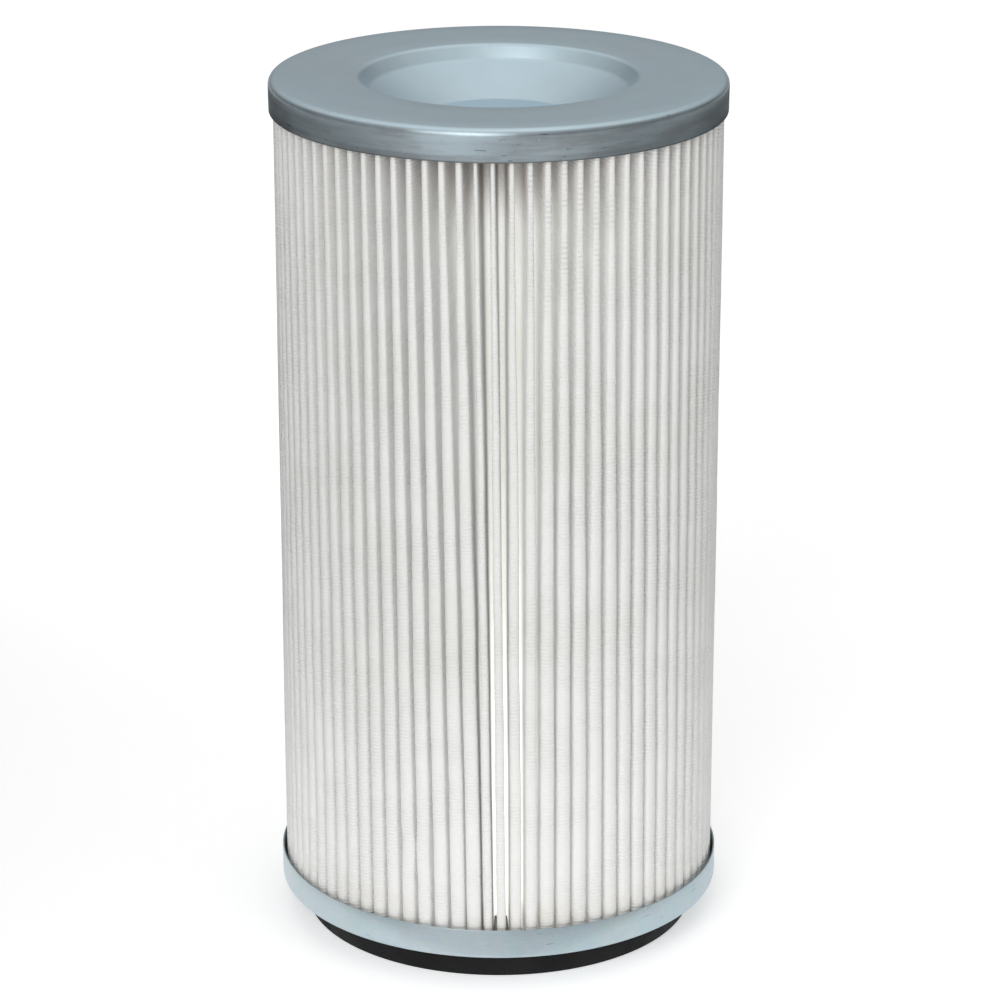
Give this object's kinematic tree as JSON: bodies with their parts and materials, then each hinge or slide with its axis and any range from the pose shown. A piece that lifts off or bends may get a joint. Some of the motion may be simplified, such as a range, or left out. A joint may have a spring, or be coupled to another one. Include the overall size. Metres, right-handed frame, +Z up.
{
  "type": "pleated dust collector filter cartridge",
  "caption": "Upright round pleated filter cartridge with a closed dished top cap, an open foot cap and a flat foam face gasket.",
  "frame": {"origin": "centre of the gasket's lower, sealing face, on the cartridge's axis", "axes": "+Z up along the cartridge's axis, from the outlet and gasket to the closed top cap; -Y is the front, where the media's seam is"},
  "size_m": [0.32, 0.32, 0.622],
  "materials": {
    "top_steel": "galvanised sheet, fine rolled grain, light handling scuffs",
    "foot_steel": "galvanised sheet, slightly mottled",
    "core_steel": "galvanised expanded metal",
    "media": "embossed spunbond polyester, matt off-white",
    "seam_glue": "hot-melt glue, cream, satin",
    "top_resin": "cast polyurethane resin, tan, satin",
    "foot_resin": "cast polyurethane resin, near black, satin",
    "foam_rubber": "closed-cell foam rubber, black, matt",
    "gasket_glue": "contact glue, amber"
  },
  "bodies": {
    "root": {"top_cap": "top_steel", "top_potting": "top_resin", "pleat_pack": "media", "seam_bead": "seam_glue", "inner_core": "core_steel", "bottom_cap": "foot_steel", "bottom_potting": "foot_resin", "gasket": "foam_rubber", "gasket_glue": "gasket_glue"}
  },
  "joints": []
}
